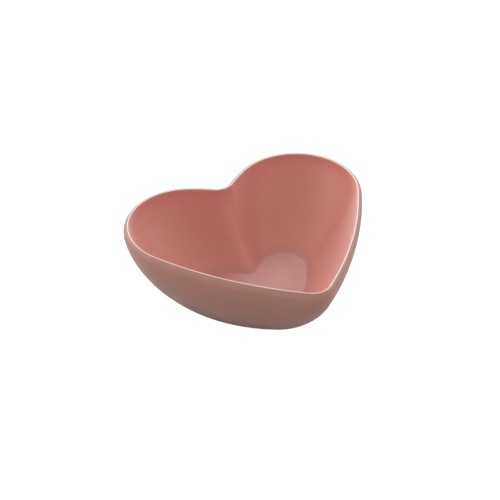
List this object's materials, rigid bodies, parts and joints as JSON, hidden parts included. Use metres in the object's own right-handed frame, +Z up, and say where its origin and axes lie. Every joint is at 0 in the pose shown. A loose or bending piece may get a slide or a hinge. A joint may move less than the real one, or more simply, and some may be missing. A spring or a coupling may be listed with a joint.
{
  "type": "heart-shaped ceramic bowl",
  "caption": "Open heart-shaped ceramic bowl with a rounded lip, a flat floor, flared glazed walls and a low unglazed foot ring.",
  "frame": {"origin": "On the table, under the middle of the overall width and length, at the level of the foot ring's underside", "axes": "+Z up out of the bowl; the heart's tip points to -Y and its cleft to +Y; +X across the two lobes"},
  "size_m": [0.15, 0.1346, 0.048],
  "materials": {
    "fired_clay": "unglazed, matt, fine grain",
    "inner_satin_glaze": "satin pink glaze",
    "outer_satin_glaze": "satin, greyer pink glaze",
    "recess_glaze": "satin, greyer pink glaze"
  },
  "bodies": {
    "root": {"clay_body": "fired_clay", "inner_glaze": "inner_satin_glaze", "outer_glaze": "outer_satin_glaze", "base_glaze": "recess_glaze"}
  },
  "joints": []
}
